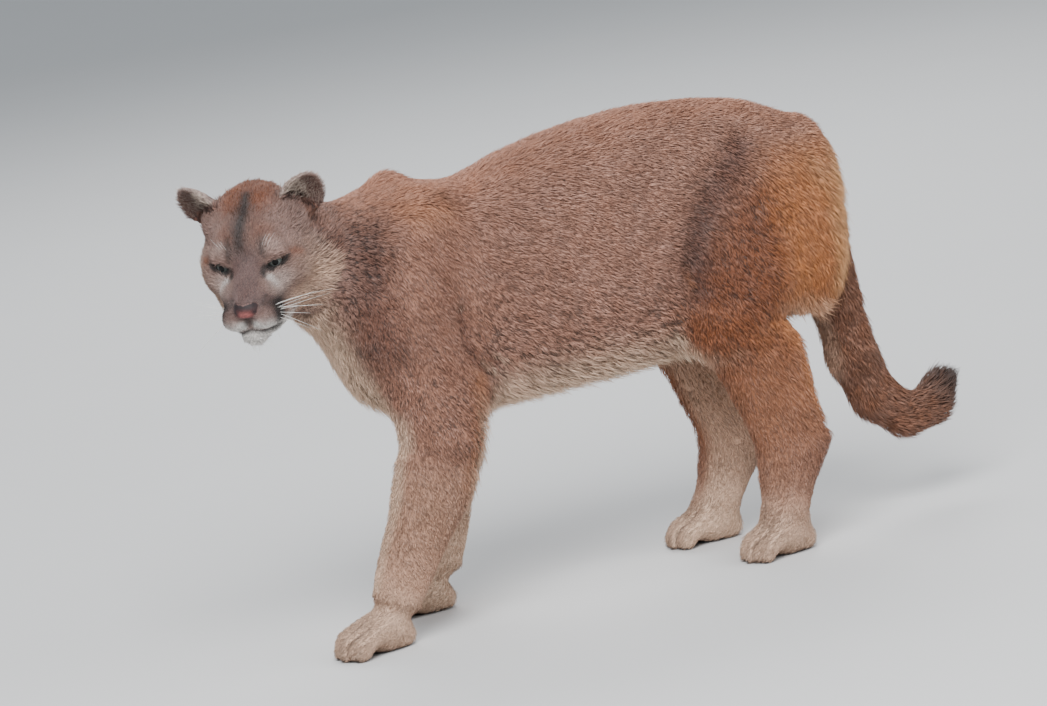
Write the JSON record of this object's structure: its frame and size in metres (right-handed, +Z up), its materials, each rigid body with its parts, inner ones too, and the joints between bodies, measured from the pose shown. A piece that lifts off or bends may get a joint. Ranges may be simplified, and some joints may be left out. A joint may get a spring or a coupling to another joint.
{
  "type": "cougar",
  "caption": "Standing cougar in mid-step with its head low and turned to one side, a still life-size model in its short coat, with a long tail curled up at the end.",
  "frame": {"origin": "on the floor under the middle of the bounding box", "axes": "the cat faces -X, its left side is towards -Y, +Z is up"},
  "size_m": [1.1598, 0.31, 0.7014],
  "materials": {
    "coat": "short dense fur, tawny brown over the back and paler towards the belly",
    "pale_coat": "short white fur of the chin",
    "nose_leather": "bare damp nose skin, pink with a dark rim",
    "eye": "wet glossy eyeball with a grey-green iris"
  },
  "bodies": {
    "root": {"neck": "coat", "chest": "coat", "barrel": "coat", "rump": "coat", "upper_foreleg_left": "coat", "forearm_left": "coat", "forepaw_left": "coat", "upper_foreleg_right": "coat", "forearm_right": "coat", "forepaw_right": "coat", "thigh_left": "coat", "shank_left": "coat", "hind_foot_left": "coat", "hind_paw_left": "coat", "thigh_right": "coat", "shank_right": "coat", "hind_foot_right": "coat", "hind_paw_right": "coat", "tail_root": "coat", "tail_middle": "coat", "tail_end": "coat", "tail_tip": "coat", "ear_left": "coat", "eye_left": "eye", "ear_right": "coat", "eye_right": "eye", "nose": "nose_leather", "lower_jaw": "pale_coat", "head": "coat"}
  },
  "joints": []
}
